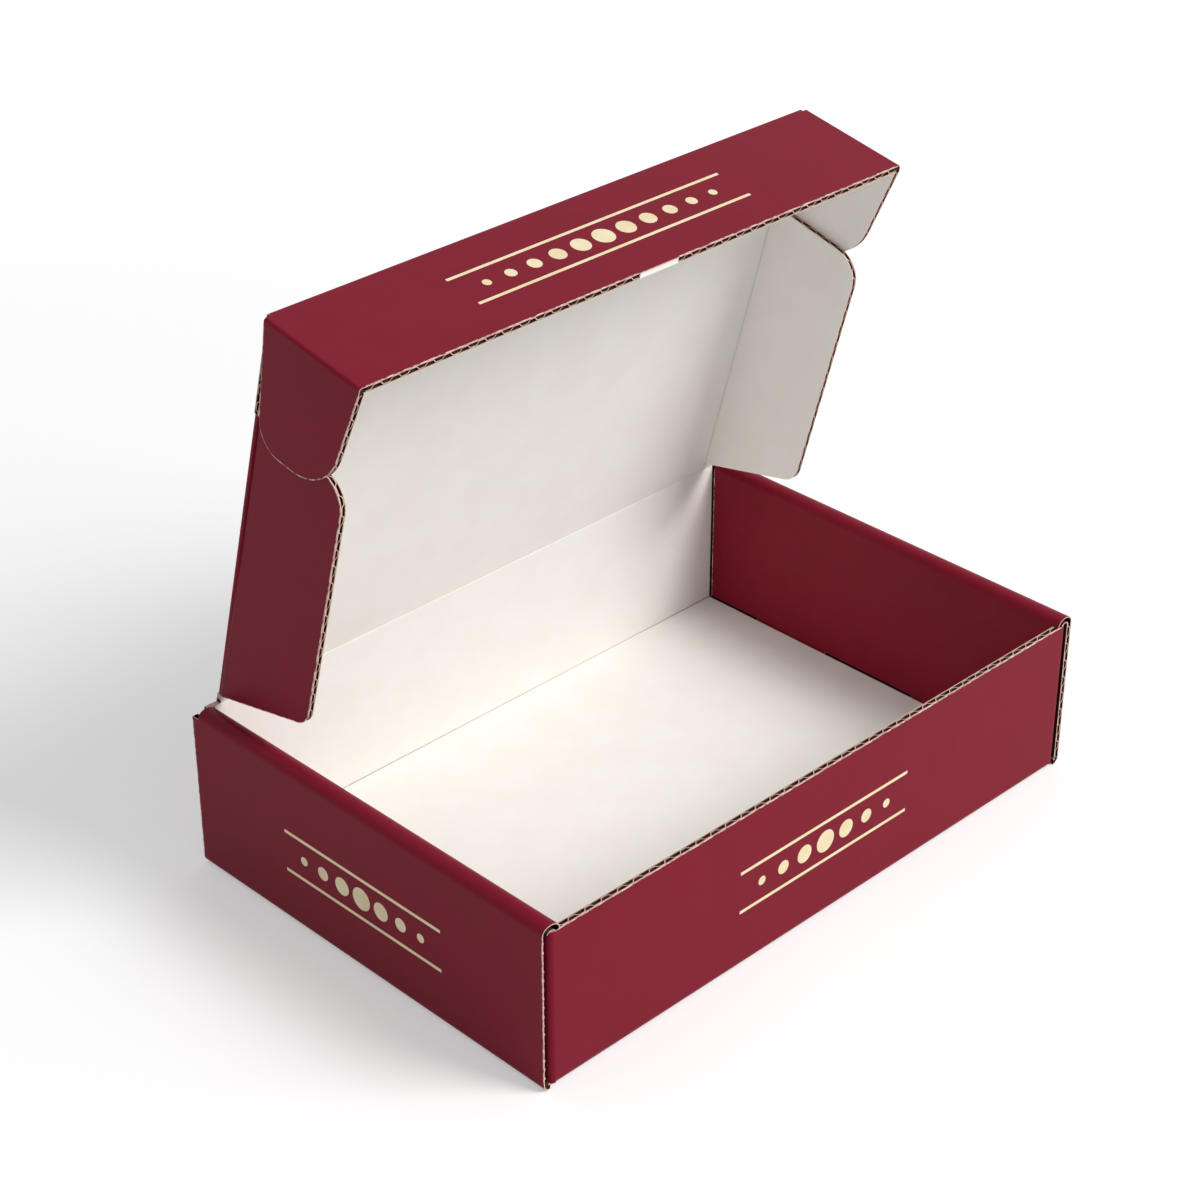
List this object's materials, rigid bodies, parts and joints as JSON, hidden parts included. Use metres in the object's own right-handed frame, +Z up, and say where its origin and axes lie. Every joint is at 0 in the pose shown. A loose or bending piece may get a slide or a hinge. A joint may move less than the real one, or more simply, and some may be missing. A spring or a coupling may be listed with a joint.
{
  "type": "corrugated mailer box",
  "caption": "Folded corrugated mailer box: a tray with rolled double side walls and an attached lid with side flaps, tuck flap and ears.",
  "frame": {"origin": "middle of the tray's underside", "axes": "+X to the right along the front wall, +Y to the hinge at the back, +Z up"},
  "size_m": [0.25, 0.164, 0.2117],
  "materials": {
    "board": "matt printed liner, white inside"
  },
  "bodies": {
    "tray": {"tray": "board"},
    "lid_panel": {"lid_panel": "board"},
    "tuck_flap": {"tuck_flap": "board"},
    "right_side_flap": {"right_side_flap": "board"},
    "left_side_flap": {"left_side_flap": "board"},
    "right_ear": {"right_ear": "board"},
    "left_ear": {"left_ear": "board"}
  },
  "joints": [
    {"name": "lid_hinge", "type": "hinge", "parent": "tray", "child": "lid_panel", "pos_m": [0, 0.08085, 0.05945], "axis": [-1, 0, 0], "range_deg": [-75, 105]},
    {"name": "tuck_fold", "type": "hinge", "parent": "lid_panel", "child": "tuck_flap", "pos_m": [0, 0.04037, 0.21052], "axis": [-1, 0, 0], "range_deg": [-11.5, 16]},
    {"name": "right_flap_fold", "type": "hinge", "parent": "lid_panel", "child": "right_side_flap", "pos_m": [0.1139, 0.08085, 0.05945], "axis": [0, -0.2588, 0.9659], "range_deg": [-25, 0]},
    {"name": "left_flap_fold", "type": "hinge", "parent": "lid_panel", "child": "left_side_flap", "pos_m": [-0.1139, 0.08085, 0.05945], "axis": [0, 0.2588, -0.9659], "range_deg": [-25, 0]},
    {"name": "right_ear_fold", "type": "hinge", "parent": "tuck_flap", "child": "right_ear", "pos_m": [0.1164, 0.04037, 0.21052], "axis": [0, -0.9816, -0.1908], "range_deg": [0, 60]},
    {"name": "left_ear_fold", "type": "hinge", "parent": "tuck_flap", "child": "left_ear", "pos_m": [-0.1164, 0.04037, 0.21052], "axis": [0, 0.9816, 0.1908], "range_deg": [0, 60]}
  ],
  "couplings": [
    {"joint": "tuck_fold", "follows": "lid_hinge", "ratio": 0.1467}
  ]
}
